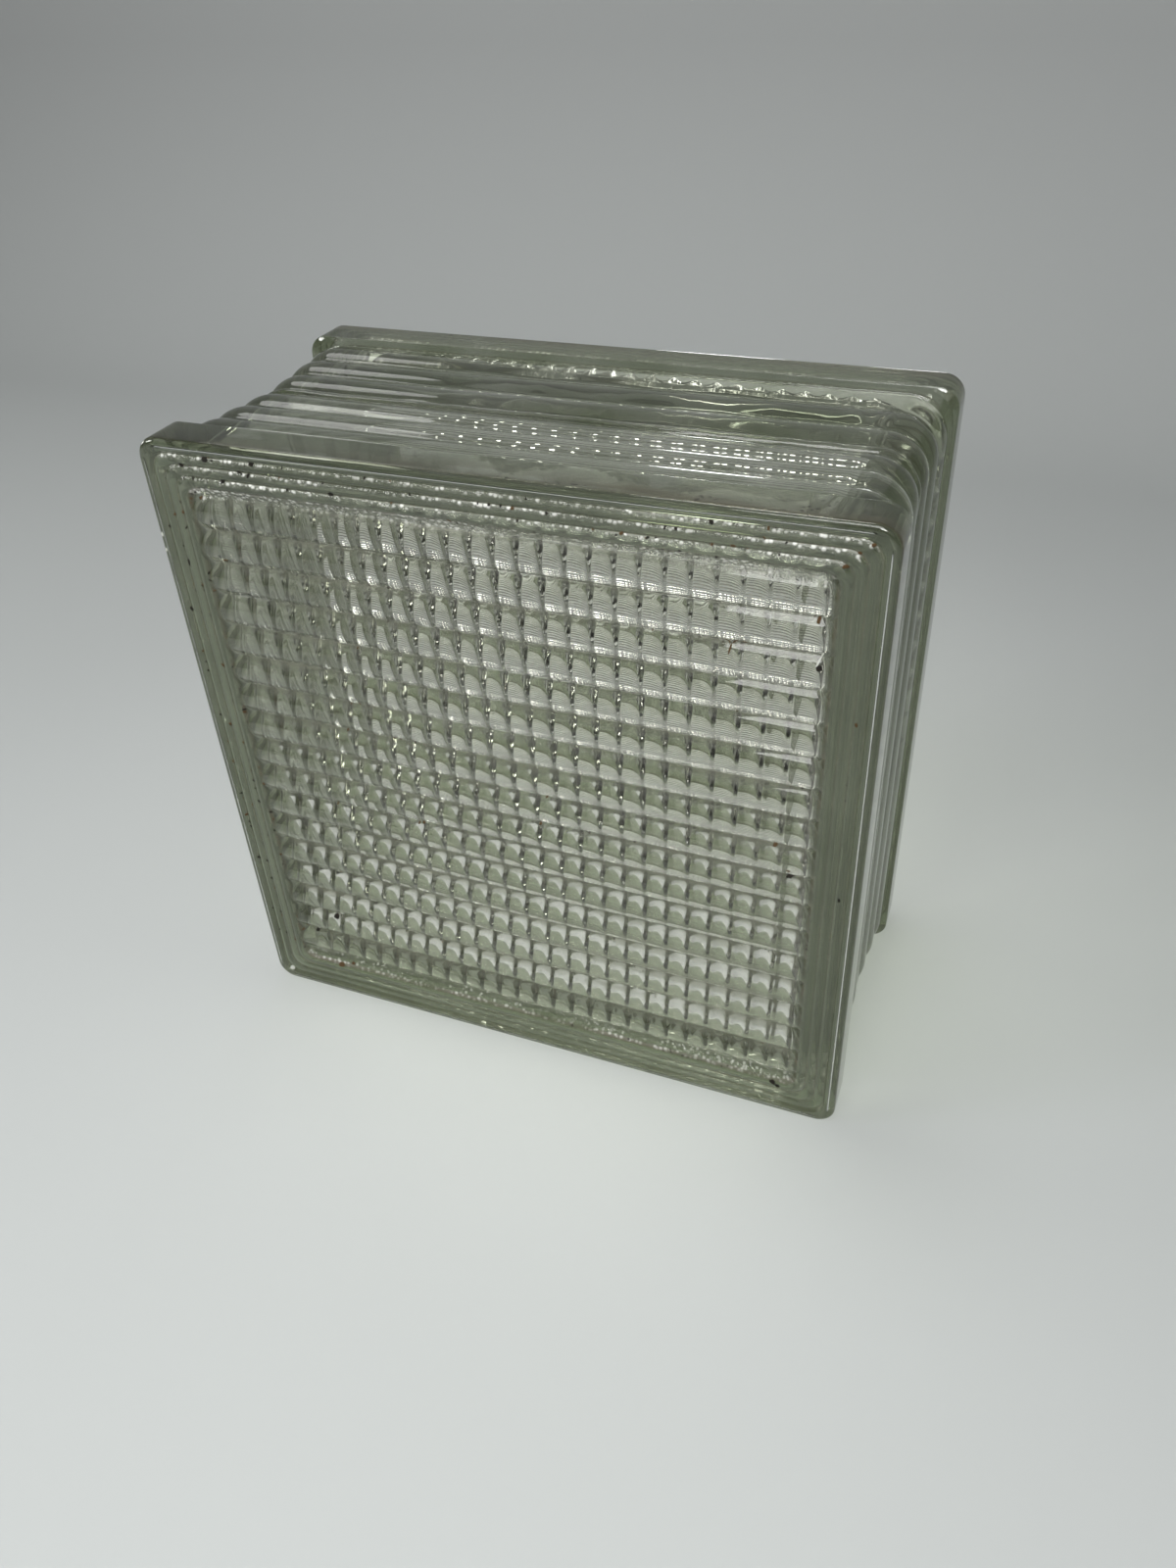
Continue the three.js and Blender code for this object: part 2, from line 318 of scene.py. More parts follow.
class Skin:
    """Points and faces gathered for one half shell. A point is x, depth behind the face, and z."""

    # How far in from a sheet's edge its rounded corners fade into square ones.
    CORNER_FADE = 5.0

    def __init__(self):
        self.points, self.faces, self.count = [], [], 0

    def add(self, x, depth, z):
        start = self.count
        self.points.append(np.stack([x, depth, z], 1))
        self.count += len(x)
        return np.arange(start, self.count)

    def grid(self, xs, zs, depth_at, corner_radius):
        """A sheet with rounded corners. Returns its edge loop and the places along that."""
        half = xs[-1]
        gx, gz = np.meshgrid(xs, zs, indexing="ij")
        level = np.maximum(np.abs(gx), np.abs(gz))
        radius = corner_radius * np.clip(1 - (half - level) / self.CORNER_FADE, 0, 1)
        flip = np.abs(gz) > np.abs(gx)
        across, along = np.where(flip, gz, gx), np.where(flip, gx, gz)
        moved_across, moved_along = rounded(level, along, radius)
        moved_across = moved_across * np.sign(across)
        x = np.where(flip, moved_along, moved_across)
        z = np.where(flip, moved_across, moved_along)
        index = self.add(x.ravel(), depth_at(x, z).ravel(), z.ravel()).reshape(gx.shape)
        a, b, c, d = index[:-1, :-1], index[1:, :-1], index[1:, 1:], index[:-1, 1:]
        self.faces += np.stack([a, b, c, d], -1).reshape(-1, 4).tolist()
        edge = [index[-1, :-1], index[:0:-1, -1], index[0, :0:-1], index[:-1, 0]]
        up_x, up_z = xs / half, zs / half
        places = [(up_z[:-1] + 1) / 2, 1 + (1 - up_x[:0:-1]) / 2, 2 + (1 - up_z[:0:-1]) / 2,
                  3 + (up_x[:-1] + 1) / 2]
        return np.concatenate(edge), np.concatenate(places)

    def ring(self, depth, inset, radius, fractions):
        x, z, places = loop_points(HALF - inset, radius, fractions)
        return self.add(x, np.full_like(x, depth), z), places

    def stitch(self, inner, outer):
        """Triangles between two loops with different numbers of points."""
        (a, places_a), (b, places_b) = inner, outer
        i = j = 0
        while i < len(a) or j < len(b):
            next_a = places_a[i + 1] if i + 1 < len(a) else 4.0
            next_b = places_b[j + 1] if j + 1 < len(b) else 4.0
            here = [a[i % len(a)], b[j % len(b)]]
            if j >= len(b) or (i < len(a) and next_a <= next_b):
                i += 1
                self.faces.append([*here, a[i % len(a)]])
            else:
                j += 1
                self.faces.append([*here, b[j % len(b)]])

    def strip(self, inner, outer):
        """Quads between two loops that match point for point."""
        a, b = inner[0], outer[0]
        self.faces += np.stack([a, b, np.roll(b, -1), np.roll(a, -1)], 1).tolist()

    def loft(self, last, sections):
        """Rings joined one after another on to a loop, finer ones in the weld. Returns the last."""
        fine = False
        for section in sections:
            was_fine, fine = fine, section[0] > SHELL_DEPTH - WELD_REACH
            ring = self.ring(*section, FINE if fine else COARSE)
            if was_fine == fine and len(last[0]) == len(ring[0]):
                self.strip(last, ring)
            else:
                self.stitch(last, ring)
            last = ring
        return last


def weld_bead(turns, inset, rise):
    """Depth and inset along a quarter of an oval, from beside the weld to its crest at the seam."""
    return [(SHELL_DEPTH - WELD_LENGTH * math.cos(t), inset + rise * math.sin(t)) for t in turns]


def side_path():
    """Depth and inset down the side: lip edge, lip, ribs and weld bead."""
    path = [(0.0, LIP_EDGE_RADIUS + 2 * LIP_EDGE_GAP)]
    path += [(LIP_EDGE_RADIUS * (1 - math.cos(t)), LIP_EDGE_RADIUS * (1 - math.sin(t)))
             for t in np.linspace(0, math.pi / 2, 9)]
    path += [(LIP_WIDTH - LIP_BACK_EASE, 0.0), (LIP_WIDTH, LIP_BACK_DROP)]
    start = LIP_WIDTH + LIP_BACK_SLOPE
    weld = SHELL_DEPTH - WELD_LENGTH
    pitch = (weld - start) / SIDE_RIBS
    dish = SIDE_RECESS_AT_SEAM - SIDE_RECESS_AT_LIP
    for rib in range(SIDE_RIBS):
        for fraction in np.linspace(0, 1, 25):
            along = rib + fraction
            chord = SIDE_RECESS_AT_LIP + dish * along / SIDE_RIBS
            rise = float(arc_rise(fraction, pitch, SIDE_RIB_HEIGHT))
            path.append((start + along * pitch, chord - rise))
    return path + weld_bead(np.linspace(0.1, math.pi / 2, 7), SIDE_RECESS_AT_SEAM, -WELD_RISE)


def resampled(path, step):
    """Points a step apart along a path."""
    path = np.array(path)
    along = np.concatenate([[0], np.cumsum(np.hypot(*np.diff(path, axis=0).T))])
    at = np.linspace(0, along[-1], int(along[-1] / step) + 1)
    return np.stack([np.interp(at, along, path[:, 0]), np.interp(at, along, path[:, 1])], 1)


def thinned(path, error):
    """The fewest of a path's points that stay within error of it."""
    keep, todo = {0, len(path) - 1}, [(0, len(path) - 1)]
    while todo:
        first, last = todo.pop()
        if last - first < 2:
            continue
        chord = path[last] - path[first]
        off = path[first + 1:last] - path[first]
        gap = np.abs(off[:, 0] * chord[1] - off[:, 1] * chord[0]) / max(np.hypot(*chord), 1e-9)
        worst = int(np.argmax(gap))
        if gap[worst] > error:
            keep.add(first + 1 + worst)
            todo += [(first, first + 1 + worst), (first + 1 + worst, last)]
    return path[sorted(keep)]


def face_sections():
    """Depth, inset and corner radius of each ring from the last bead's crest to the lip's edge."""
    inset, depth = FRAME_TABLE
    part = (inset < LAST_CREST - CREST_GAP) & (inset > LIP_EDGE_RADIUS + LIP_EDGE_GAP)
    path = thinned(np.stack([inset[part], depth[part]], 1), SECTION_ERROR)
    return [(d, s, float(bead_radius(np.array(s)))) for s, d in path[::-1]]


def side_sections():
    """Depth, inset and corner radius of each ring from the lip's edge to the seam, softened."""
    path = resampled(side_path(), SIDE_STEP)
    soft = np.stack([softened(path[:, i], SIDE_STEP, SIDE_SOFTNESS) for i in (0, 1)], 1)
    soft[:, 1] = np.maximum(soft[:, 1], 0.0)
    soft[-1, 0] = SHELL_DEPTH
    sections = []
    for d, s in thinned(soft, SECTION_ERROR):
        radius = max(LIP_CORNER_RADIUS - s, 1.0) if d <= LIP_WIDTH else SIDE_CORNER_RADIUS
        sections.append((max(d, 0.0), s, radius))
    return sections


def air_space_sections():
    """Depth, inset and corner radius of each ring up the air space's walls to the seam."""
    start = AIR_SPACE_FLOOR + AIR_SPACE_FILLET
    weld, near = SHELL_DEPTH - WELD_LENGTH, SHELL_DEPTH - WELD_REACH
    walls = [(near, np.interp(near, [start, weld], [AIR_SPACE_INSET, SEAM_INSET]))]
    walls += weld_bead(np.linspace(0, math.pi / 2, 5), SEAM_INSET, WELD_RISE)
    sections = [(start, AIR_SPACE_INSET, AIR_SPACE_CORNER_RADIUS)]
    return sections + [(d, s, AIR_SPACE_SEAM_RADIUS) for d, s in walls]


def half_shell():
    """Points, faces, seam points and film of one half, outside and inside, open at the seam."""
    outer = Skin()
    half = HALF - LAST_CREST
    along = end_lines(half, half - OUTER_ENDS, OUTER_END_STEP, OUTER_STEP)
    across = reed_lines(OUTER_REEDS, STEPS_TO_OUTER_REED, half)
    edge = outer.grid(along, across, outer_depth, float(bead_radius(np.array(LAST_CREST))))
    seam_out = outer.loft(edge, face_sections() + side_sections())[0]

    inner = Skin()
    half = HALF - AIR_SPACE_INSET - INNER_SHEET_GAP
    along = end_lines(half, half - INNER_ENDS, INNER_END_STEP, INNER_STEP)
    across = reed_lines(INNER_REEDS, STEPS_TO_INNER_REED, half)
    edge = inner.grid(across, along, inner_depth, AIR_SPACE_CORNER_RADIUS)
    seam_in = inner.loft(edge, air_space_sections())[0] + outer.count

    points = np.concatenate([*outer.points, *inner.points])
    faces = outer.faces + [[i + outer.count for i in face[::-1]] for face in inner.faces]
    film = film_of(points)
    film[outer.count:] = 0
    return points, faces, np.concatenate([seam_out, seam_in]), film


def film_of(points):
    """What lies on the outside of one half, a row for each point: the olive film, dirt and a
    painted highlight. The film and the dirt are partly painted shade.

    Haze is on lip, frame and sides, thinnest at the top and heavier on the right side wall, on the
    left and at the bottom, as painted shade. Dirt is in the grooves and paints shade into them. The
    painted highlight is pale on the slopes, strongest at the top, and on the upper flanks of the
    top beads.
    """
    x, depth, z = points.T
    inset = inset_of(x, z, bead_radius)
    on_face = depth < FACE_REACH
    on_frame = on_face & (inset < FRAME_END + 1)

    # The olive film is heavier on the right side wall, on the left and towards the bottom: painted
    # shade.
    haze_and_shade = np.where(x > HALF - RIGHT_SIDE_REACH, HAZE_AND_SHADE_ON_RIGHT_SIDE, HAZE_AND_SHADE_ON_SIDES)
    haze_and_shade = np.where(on_face, np.interp(inset, *HAZE_AND_SHADE_ON_FACE), haze_and_shade)
    upright = np.abs(x) > np.abs(z)
    haze_and_shade *= np.where(upright, np.interp(x, *HAZE_AND_SHADE_ACROSS), np.interp(z, *HAZE_AND_SHADE_UP))

    # Dirt in the grooves, which also paints shade into them.
    dirt = np.where(on_face & (inset > PANEL_INSET), np.interp(depth, *DIRT_AND_SHADE_AT_REEDS), 0)
    dirt = np.maximum(dirt, np.where(on_frame, np.interp(depth, *DIRT_AND_SHADE_AT_BEADS), 0))

    # A painted highlight: pale on the slopes, strongest at the top, and on the upper flanks of the
    # top beads.
    level = np.interp(z, *HIGHLIGHT_UP) * (np.abs(z) > np.abs(x) - 1)
    painted_highlight = np.where(on_face, np.interp(inset, *HIGHLIGHT_ON_SLOPES) * level, 0)
    rise = -np.interp(inset, FRAME_TABLE[0], np.gradient(FRAME_TABLE[1], FRAME_TABLE[0]))
    on_top_beads = on_face & (z > np.abs(x)) & (inset < FRAME_END)
    painted_highlight += np.where(on_top_beads, np.clip(HIGHLIGHT_ON_RISE * rise, 0, 1), 0)
    return np.stack([haze_and_shade, dirt, painted_highlight], 1)


def wander(place, waves):
    """A smooth random shift at a place, the sum of these waves."""
    return sum(height * noise.noise(place * fineness + Vector(start))
               for height, fineness, start in waves)


def weld_shift(points):
    """The points moved as the molten rims sagged when they met: the seam wanders out and along."""
    moved = points.copy()
    for i in np.flatnonzero(np.abs(points[:, 1]) < WELD_REACH):
        x, y, z = points[i]
        near = 0.5 + 0.5 * math.cos(math.pi * y / WELD_REACH)
        place = Vector((x, 0, z))
        out = wander(place, WAVES_OUT)
        along = wander(place, WAVES_ALONG)
        moved[i] += near * np.array([x * out / HALF, along, z * out / HALF])
    return moved


def mesh_of(name, points, faces, carried, values):
    """A smooth mesh from points in millimetres, with one named value of three numbers a point."""
    mesh = bpy.data.meshes.new(name)
    mesh.from_pydata((np.array(points) * MM).tolist(), [], faces)
    layer = mesh.attributes.new(carried, "FLOAT_VECTOR", "POINT")
    layer.data.foreach_set("vector", np.array(values).ravel())
    mesh.polygons.foreach_set("use_smooth", [True] * len(mesh.polygons))
    return mesh


def glass_mesh():
    """Both halves, turned back to back and fused along the seam."""
    points, faces, seam, film = half_shell()
    count = len(points)
    front = points - [0, SHELL_DEPTH, 0]
    back = front * [-1, -1, 1]
    both = weld_shift(np.concatenate([front, back])) + [0, 0, HALF]
    faces = faces + [[i + count for i in face] for face in faces]
    mesh = mesh_of("glass_block", both, faces, "film", np.concatenate([film, film]))
    fused = bmesh.new()
    fused.from_mesh(mesh)
    fused.verts.ensure_lookup_table()
    doubles = [fused.verts[i] for i in [*seam, *(seam + count)]]
    bmesh.ops.remove_doubles(fused, verts=doubles, dist=2e-6)
    fused.to_mesh(mesh)
    fused.free()
    return mesh


# ---------------------------------------------------------------- specks of dirt and rust

# The small specks: how many, the share of soot among those on the frame, and their lengths. They
# lie at the frame's left up to the first share of them, at its top up to the second, and between
# the reeds from there. Those on the frame keep a margin from its corners.
SMALL_SPECKS = 150
SOOT_SHARE = 0.6
SMALL_LENGTHS = (0.45, 1.15)
FRAME_SHARES = (0.55, 0.8)
CORNER_MARGIN = 8

# How high a speck stands, at most and as a part of its width, how uneven it is, and how near the
# block's edge and the lip's plane it may come.
SPECK_RAISE, SPECK_FLATNESS = 0.16, 5
SPECK_UNEVENNESS = 0.55
SPECK_EDGE_GAP, SPECK_LIP_GAP = 0.1, 0.02

BLACK = (0.012, 0.011, 0.009)
RUST = (0.075, 0.045, 0.02)
# Pale marks of chips and a scratch: their pale colour is a painted highlight.
PALE_CHIP_GLINT = (0.55, 0.56, 0.52)

# Each speck: millimetres across from the middle and up from the floor, length, width, turn in
# degrees and kind.
SPECKS = [
    (-77.3, 192.6, 2.0, 1.2, 10, BLACK), (-85.4, 190.3, 1.4, 1.1, 0, BLACK),
    (-73.6, 187.1, 1.5, 0.9, 30, BLACK), (-67.8, 190.2, 1.1, 0.8, 0, BLACK),
    (-65.1, 189.6, 1.2, 0.9, 50, BLACK), (-63.4, 193.0, 1.8, 1.2, 0, BLACK),
    (-41.4, 187.5, 1.8, 1.1, 0, BLACK), (93.0, 90.9, 1.2, 0.8, 90, BLACK),
    (-94.4, 55.0, 1.5, 1.1, 80, BLACK), (-94.4, 147.0, 1.6, 1.1, 80, BLACK),
    (-94.4, 172.0, 1.2, 0.9, 80, BLACK), (-91.1, 162.0, 2.2, 1.2, 85, BLACK),
    (-70.3, 34.2, 1.8, 1.4, 0, BLACK), (-79.7, 24.9, 1.4, 0.9, 0, BLACK),
    (79.4, 93.4, 1.9, 1.1, 20, BLACK), (79.0, 12.0, 2.0, 1.1, -20, BLACK),
    (80.7, 11.2, 1.6, 1.1, -20, BLACK), (82.6, 159.2, 1.4, 1.2, 0, BLACK),
    (-83.3, 180.7, 1.2, 0.8, 40, RUST), (-84.9, 24.4, 1.3, 0.8, 60, RUST),
    (86.7, 186.1, 1.5, 0.9, 10, RUST), (92.2, 191.9, 1.2, 0.9, 0, RUST),
    (89.5, 189.7, 1.0, 0.8, 0, RUST), (81.5, 171.0, 1.6, 0.9, 80, RUST),
    (79.0, 96.4, 1.3, 0.9, 0, RUST), (74.8, 102.9, 1.2, 0.8, 30, RUST),
    (61.6, 187.5, 1.3, 0.8, 0, RUST), (64.6, 162.5, 1.0, 0.8, 0, RUST),
    (92.6, 146.0, 1.2, 0.7, 90, RUST), (-79.5, 163.5, 1.8, 0.8, 0, RUST),
    (-83.0, 26.5, 1.8, 0.9, 15, RUST), (-71.7, 12.5, 2.4, 1.3, 5, RUST),
    (-67.5, 13.6, 1.4, 0.8, 0, RUST), (60.4, 162.0, 2.2, 0.45, -50, RUST),
    (62.3, 162.1, 2.0, 0.45, 45, RUST), (61.2, 160.2, 2.2, 0.5, 85, RUST),
    (-93.0, 4.3, 2.6, 1.6, 35, PALE_CHIP_GLINT), (82.4, 160.6, 2.8, 0.5, 70, PALE_CHIP_GLINT),
    (-67.4, 36.8, 1.5, 1.0, 0, PALE_CHIP_GLINT), (-97.2, 169.5, 1.4, 0.9, 90, PALE_CHIP_GLINT),
    (-97.2, 165.0, 1.2, 0.8, 90, PALE_CHIP_GLINT),
]


def small_specks():
    """Specks too small to place one by one: caught in the frame's grooves and between the reeds."""
    pick = np.random.default_rng(17)
    grooves = [LAND_WIDTH + 0.2 + bead * BEAD_PITCH for bead in range(FRAME_BEADS + 1)]
    small = []
    for _ in range(SMALL_SPECKS):
        kind = BLACK if pick.random() < SOOT_SHARE else RUST
        size = pick.uniform(*SMALL_LENGTHS)
        where = pick.random()
        if where < FRAME_SHARES[0]:
            x = -HALF + pick.choice(grooves) + pick.normal(0, 0.15)
            z = pick.uniform(CORNER_MARGIN, FACE - CORNER_MARGIN)
        elif where < FRAME_SHARES[1]:
            x = pick.uniform(-HALF + CORNER_MARGIN, HALF - CORNER_MARGIN)
            z = FACE - pick.choice(grooves) + pick.normal(0, 0.2)
        else:
            x = pick.uniform(-PANEL_SPAN / 2, PANEL_SPAN / 2)
            reed = pick.integers(1, OUTER_REEDS)
            z = PANEL_INSET + reed * PANEL_SPAN / OUTER_REEDS + pick.normal(0, 0.3)
            kind, size = RUST, size * 0.8
        small.append((x, z, size, size * pick.uniform(0.5, 0.9), pick.uniform(0, 180), kind))
    return small


def round_crumb():
    """Points and faces of a ball of radius 1."""
    ball = bmesh.new()
    bmesh.ops.create_icosphere(ball, subdivisions=2, radius=1.0)
    points = np.array([v.co[:] for v in ball.verts])
    faces = [[v.index for v in face.verts] for face in ball.faces]
    ball.free()
    return points, faces


def speck_mesh():
    """Flat crumbs that follow the front face's surface and stay behind the plane of its lip."""
    ball, ball_faces = round_crumb()
    edge, least = HALF - SPECK_EDGE_GAP, SPECK_LIP_GAP + 0.05 * (ball[:, 1] + 1)
    points, faces, tints = [], [], []
    for n, (x, z, length, width, turn, tint) in enumerate(SPECKS + small_specks()):
        start = Vector((n * 3.7, 0, 0))
        bumps = np.array([noise.noise(Vector(p * 1.4) + start) for p in ball])
        uneven = 1 + SPECK_UNEVENNESS * bumps
        a, b = ball[:, 0] * uneven * length / 2, ball[:, 2] * uneven * width / 2
        c, s = math.cos(math.radians(turn)), math.sin(math.radians(turn))
        px = np.clip(x + a * c - b * s, -edge, edge)
        pz = np.clip(z - HALF + a * s + b * c, -edge, edge)
        rise = ball[:, 1] * min(SPECK_RAISE, width / SPECK_FLATNESS)
        depth = np.maximum(outer_depth(px, pz) + rise, least)
        faces += [[i + len(points) for i in face] for face in ball_faces]
        points += np.stack([px, depth - SHELL_DEPTH, pz + HALF], 1).tolist()
        tints += [tint] * len(ball)
    return mesh_of("dirt_specks", points, faces, "tint", tints)


# ---------------------------------------------------------------- materials


class Nodes:
    """A material, with short ways to add the nodes that it is built from."""

    def __init__(self, name):
        self.material = bpy.data.materials.new(name)
        self.material.use_nodes = True
        self.nodes, self.links = self.material.node_tree.nodes, self.material.node_tree.links
        self.nodes.clear()
        self.out = self.nodes.new("ShaderNodeOutputMaterial")

    def put(self, value, socket):
        if isinstance(value, bpy.types.NodeSocket):
            self.links.new(value, socket)
        else:
            socket.default_value = value

    def place(self):
        return self.nodes.new("ShaderNodeTexCoord").outputs["Object"]

    def carried(self, name):
        """The three numbers that the mesh carries under this name."""
        node = self.nodes.new("ShaderNodeAttribute")
        node.attribute_name = name
        return node.outputs["Vector"]

    def parts(self, vector):
        node = self.nodes.new("ShaderNodeSeparateXYZ")
        self.links.new(vector, node.inputs[0])
        return node.outputs

    def math(self, operation, a, b=0.0, clamp=False):
        node = self.nodes.new("ShaderNodeMath")
        node.operation, node.use_clamp = operation, clamp
        self.put(a, node.inputs[0])
        self.put(b, node.inputs[1])
        return node.outputs[0]

    def times(self, a, b):
        return self.math("MULTIPLY", a, b)

    def plus(self, a, b, clamp=False):
        return self.math("ADD", a, b, clamp)

    def ramp(self, value, low, high, to_low=0.0, to_high=1.0):
        node = self.nodes.new("ShaderNodeMapRange")
        names = ("Value", "From Min", "From Max", "To Min", "To Max")
        for name, number in zip(names, (value, low, high, to_low, to_high)):
            self.put(number, node.inputs[name])
        return node.outputs[0]

    def mix(self, share, a, b):
        """A colour that is a where share is 0 and b where it is 1."""
        node = self.nodes.new("ShaderNodeMix")
        node.data_type = "RGBA"
        for socket, value in zip(("Factor", "A", "B"), (share, a, b)):
            self.put((*value, 1) if isinstance(value, tuple) else value, node.inputs[socket])
        return node.outputs["Result"]

    def noise(self, place, per_metre, detail=2.0, stretch=None):
        if stretch:
            node = self.nodes.new("ShaderNodeVectorMath")
            node.operation = "MULTIPLY"
            self.links.new(place, node.inputs[0])
            node.inputs[1].default_value = stretch
            place = node.outputs[0]
        node = self.nodes.new("ShaderNodeTexNoise")
        self.links.new(place, node.inputs["Vector"])
        node.inputs["Scale"].default_value = per_metre
        node.inputs["Detail"].default_value = detail
        return node.outputs["Fac"]

    def spots(self, place, per_metre, radius):
        """Round spots scattered at random, as a share that is 1 at their middles."""
        node = self.nodes.new("ShaderNodeTexVoronoi")
        self.links.new(place, node.inputs["Vector"])
        node.inputs["Scale"].default_value = per_metre
        return self.ramp(node.outputs["Distance"], radius * 0.5, radius, 1.0, 0.0)

    def bump(self, height, distance, shader):
        node = self.nodes.new("ShaderNodeBump")
        node.inputs["Strength"].default_value = 1.0
        node.inputs["Distance"].default_value = distance
        self.links.new(height, node.inputs["Height"])
        self.links.new(node.outputs[0], shader.inputs["Normal"])

    def shader(self, inputs, kind="ShaderNodeBsdfPrincipled"):
        node = self.nodes.new(kind)
        for name, value in inputs.items():
            self.put(value, node.inputs[name])
        return node


# The glass: the colour and strength of its tint, and what its sides and panels let through.
GLASS_TINT, TINT_DENSITY = (0.685, 0.695, 0.61), 24.0
THROUGH_SIDES = (0.76, 0.775, 0.74)
THROUGH_PANELS = (0.98, 0.985, 0.965)

# Colours of what lies on the glass, with painted shade in the olive and the groove colours and a
# painted highlight in the pale one, and of clean glass.
LIGHT_DUST = (0.52, 0.54, 0.47)
OLIVE_HAZE_AND_SHADE = (0.22, 0.25, 0.175)
GROOVE_DIRT_AND_SHADE = (0.085, 0.075, 0.045)
HIGHLIGHT_PALE = (0.78, 0.78, 0.74)
GRAINS = (0.03, 0.025, 0.02)
CLEAN = (0.99, 0.985, 0.97)
CRUMB_BROWN = (0.16, 0.11, 0.07)

# The floor's paper, below and where it has turned up, painted darker there as shade.
PAPER = (0.605, 0.63, 0.62)
SHADED_PAPER_ABOVE = (0.45, 0.465, 0.46)


def glass_film(tree, place, fine, haze_and_shade, dirt, painted_highlight):
    """The share of the glass's outside that doesn't transmit, and its colour there."""
    cloud = tree.noise(place, 45, 4)
    smears = tree.noise(place, 150, 3, (0.25, 1, 1))

    # Haze on lip, frame and sides, partly painted shade.
    hazy_and_shaded = tree.times(haze_and_shade, tree.ramp(cloud, 0.3, 0.7, 0.13, 0.23))
    thin_dust = tree.ramp(fine, 0.45, 0.7, 0.003, 0.016)
    # Dirt in the grooves, darkened further as painted shade.
    grime_and_shade = tree.times(dirt, tree.ramp(smears, 0.38, 0.68, 0.03, 0.45))
    grains = tree.times(dirt, tree.spots(place, 620, 0.34))
    grains = tree.times(grains, tree.ramp(cloud, 0.5, 0.62))
    # The painted highlight as pale glittering spots; the same mask sets the pits in the bump below.
    painted_glitter = tree.times(painted_highlight, tree.plus(tree.spots(place, 700, 0.5), 0.35))
    painted_glitter = tree.times(painted_glitter, tree.ramp(smears, 0.35, 0.6, 0.3, 1.0))

    cover = tree.plus(tree.math("MAXIMUM", hazy_and_shaded, thin_dust), grime_and_shade)
    cover = tree.math("MAXIMUM", cover, grains, clamp=True)
    cover = tree.plus(cover, tree.times(painted_glitter, 0.6), clamp=True)

    colour = tree.mix(tree.ramp(haze_and_shade, 0.0, 0.6), LIGHT_DUST, OLIVE_HAZE_AND_SHADE)
    colour = tree.mix(tree.times(dirt, smears), colour, GROOVE_DIRT_AND_SHADE)
    colour = tree.mix(painted_glitter, colour, HIGHLIGHT_PALE)
    colour = tree.mix(grains, colour, GRAINS)
    colour = tree.mix(tree.ramp(cover, 0.0, 0.12), CLEAN, colour)
    return cover, colour


def pressed_glass():
    """Grey-green glass. Haze and groove dirt, partly painted shade, and a painted highlight on its
    outside are the share that doesn't transmit.
    """
    tree = Nodes("pressed_glass")
    place = tree.place()
    fine = tree.noise(place, 900, 3)
    haze_and_shade, dirt, painted_highlight = tree.parts(tree.carried("film"))
    cover, colour = glass_film(tree, place, fine, haze_and_shade, dirt, painted_highlight)
    glass = tree.shader({
        "Base Color": colour,
        "Transmission Weight": tree.math("SUBTRACT", 1.0, cover),
        "Roughness": tree.ramp(fine, 0.3, 0.8, 0.012, 0.05),
        "IOR": 1.52,
    })
    waves = tree.plus(tree.times(tree.noise(place, 120, 1), 0.25), tree.times(fine, 0.02))
    pitted = tree.times(tree.times(painted_highlight, tree.noise(place, 1600, 2)), 4.0)
    tree.bump(tree.plus(waves, pitted), 0.00008, glass)

    # Light that passes on its way to a lamp: less through the sides than through the panels.
    normal = tree.parts(tree.nodes.new("ShaderNodeNewGeometry").outputs["True Normal"])
    passed = tree.mix(tree.math("ABSOLUTE", normal["Y"]), THROUGH_SIDES, THROUGH_PANELS)
    clear = tree.shader({"Color": passed}, "ShaderNodeBsdfTransparent")
    to_lamp = tree.nodes.new("ShaderNodeLightPath").outputs["Is Shadow Ray"]
    shares = {0: to_lamp, 1: glass.outputs[0], 2: clear.outputs[0]}
    surface = tree.shader(shares, "ShaderNodeMixShader")
    tint = {"Color": (*GLASS_TINT, 1), "Density": TINT_DENSITY}
    inside = tree.shader(tint, "ShaderNodeVolumeAbsorption")
    tree.put(surface.outputs[0], tree.out.inputs["Surface"])
    tree.put(inside.outputs[0], tree.out.inputs["Volume"])
    return tree.material


def dirt_material():
    """Dull crumbs of soot, rust and chipped glass, each unevenly coloured; the pale chips carry a
    painted highlight.
    """
    tree = Nodes("dirt")
    grain = tree.noise(tree.place(), 2500, 3)
    brown = tree.ramp(grain, 0.5, 0.8, 0.0, 0.2)
    crumb = tree.shader({
        "Base Color": tree.mix(brown, tree.carried("tint"), CRUMB_BROWN),
        "Roughness": tree.ramp(grain, 0.3, 0.7, 0.6, 0.95),
        "Specular IOR Level": 0.15,
    })
    tree.bump(grain, 0.00005, crumb)
    tree.put(crumb.outputs[0], tree.out.inputs["Surface"])
    return tree.material


def floor_material():
    """Pale paper, with painted shade: a little darker where it turns up into the wall."""
    tree = Nodes("studio_floor")
    height = tree.parts(tree.place())["Z"]
    colour = tree.mix(tree.ramp(height, 0.0, 0.2), PAPER, SHADED_PAPER_ABOVE)
    paper = tree.shader({"Base Color": colour, "Roughness": 0.7})
    tree.put(paper.outputs[0], tree.out.inputs["Surface"])
    return tree.material


# ---------------------------------------------------------------- the object


def add_object(name, mesh, material):
    added = bpy.data.objects.new(name, mesh)
    bpy.context.scene.collection.objects.link(added)
    added.data.materials.append(material)
    return added


block = add_object("glass_block", glass_mesh(), pressed_glass())
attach(block, "root")
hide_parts("front_shell", "back_shell")

specks = add_object("dirt_specks", speck_mesh(), dirt_material())
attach(specks, "root")

for piece in (block, specks):
    print(piece.name, "triangles", sum(len(p.vertices) - 2 for p in piece.data.polygons))

# ---------------------------------------------------------------- stage

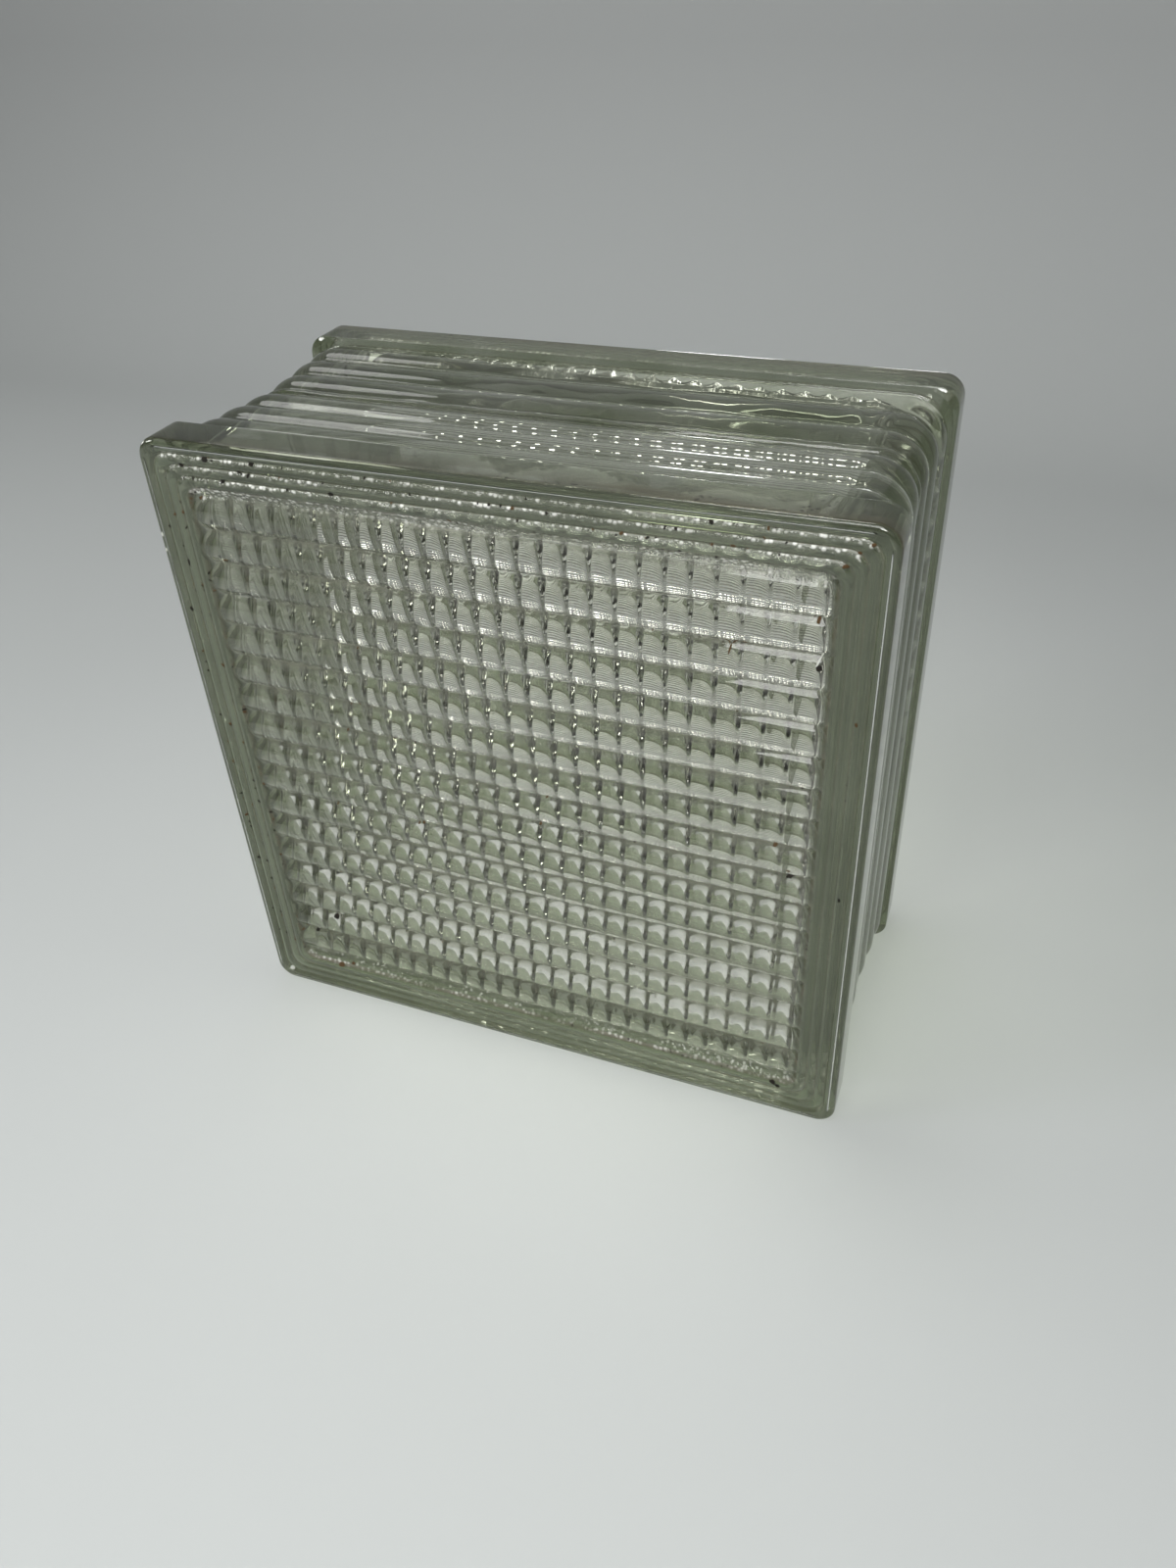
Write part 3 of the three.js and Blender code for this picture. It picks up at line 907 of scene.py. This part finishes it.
# The floor runs back and turns up into a wall. Metres: the wall's place, the radius of the bend
# between them, how far the floor reaches and how high the wall is.
WALL_Y = 0.75
SWEEP_RADIUS = 0.3
STAGE_REACH = 4.0
WALL_TOP = 3.0


def sweep_mesh():
    """Floor and wall in one sheet with a round bend between."""
    line = [(-STAGE_REACH, 0.0)]
    bend_start = WALL_Y - SWEEP_RADIUS
    for t in np.linspace(0, math.pi / 2, 17):
        line.append((bend_start + SWEEP_RADIUS * math.sin(t), SWEEP_RADIUS * (1 - math.cos(t))))
    line.append((WALL_Y, WALL_TOP))
    verts = [(x, y, z) for y, z in line for x in (-STAGE_REACH, STAGE_REACH)]
    faces = [(2 * i, 2 * i + 1, 2 * i + 3, 2 * i + 2) for i in range(len(line) - 1)]
    mesh = bpy.data.meshes.new("floor")
    mesh.from_pydata(verts, [], faces)
    mesh.polygons.foreach_set("use_smooth", [True] * len(faces))
    return mesh


floor = add_object("floor", sweep_mesh(), floor_material())

world = bpy.data.worlds.new("studio")
world.use_nodes = True
sky = world.node_tree.nodes["Background"]
sky.inputs["Color"].default_value = (0.80, 0.83, 0.84, 1)
sky.inputs["Strength"].default_value = 0.05
bpy.context.scene.world = world

# Round lamps: place and the point that each faces in metres, width, watts and spread in degrees.
MIDDLE, UPPER, GROUND = (0, 0, 0.1), (0, 0, 0.14), (0.04, -0.27, 0)
LAMPS = {
    "front": ((0.30, -1.03, 0.84), MIDDLE, 0.4, 7.8, 180),
    "side": ((-1.05, -0.6, 0.62), MIDDLE, 0.4, 6.4, 180),
    "pool": ((0.08, -0.38, 0.6), GROUND, 0.3, 1.4, 180),
    "top": ((-0.1, 0.1, 1.0), MIDDLE, 0.26, 1.0, 180),
    "back_left": ((-0.5, 0.45, 0.7), MIDDLE, 0.2, 0.2, 180),
    "low_back": ((0.02, 0.65, 0.19), UPPER, 0.08, 0.02, 60),
    "low_back_left": ((-0.13, 0.64, 0.2), UPPER, 0.1, 0.045, 60),
    "left": ((-0.6, 0.05, 0.25), UPPER, 0.1, 0.04, 60),
}

for name, (place, target, width, watts, spread) in LAMPS.items():
    lamp = bpy.data.lights.new(name, "AREA")
    lamp.shape = "DISK"
    lamp.size = width
    lamp.energy = watts
    lamp.spread = math.radians(spread)
    lamp_object = bpy.data.objects.new(name, lamp)
    lamp_object.location = place
    facing = Vector(target) - Vector(place)
    lamp_object.rotation_euler = facing.to_track_quat("-Z", "Y").to_euler()
    lamp_object.visible_camera = False
    bpy.context.scene.collection.objects.link(lamp_object)

CAMERA_PLACE = Vector((0.12597, -0.28805, 0.30928))
CAMERA_RIGHT = Vector((0.93107526, 0.36221843, -0.0435507))
CAMERA_DOWN = Vector((0.18638451, -0.57488988, -0.7967198))
CAMERA_FORWARD = Vector((-0.31362345, 0.73368892, -0.60277765))
CAMERA_LENS = 27.942
CAMERA_SENSOR = 36

camera = bpy.data.cameras.new("camera")
camera.sensor_width = CAMERA_SENSOR
camera.lens = CAMERA_LENS
camera_object = bpy.data.objects.new("camera", camera)
turn = Matrix((CAMERA_RIGHT, -CAMERA_DOWN, -CAMERA_FORWARD)).transposed()
camera_object.matrix_world = Matrix.Translation(CAMERA_PLACE) @ turn.to_4x4()
bpy.context.scene.collection.objects.link(camera_object)
bpy.context.scene.camera = camera_object

scene = bpy.context.scene
scene.view_settings.view_transform = "Standard"
scene.cycles.max_bounces = 14
scene.cycles.transmission_bounces = 14
scene.cycles.transparent_max_bounces = 16
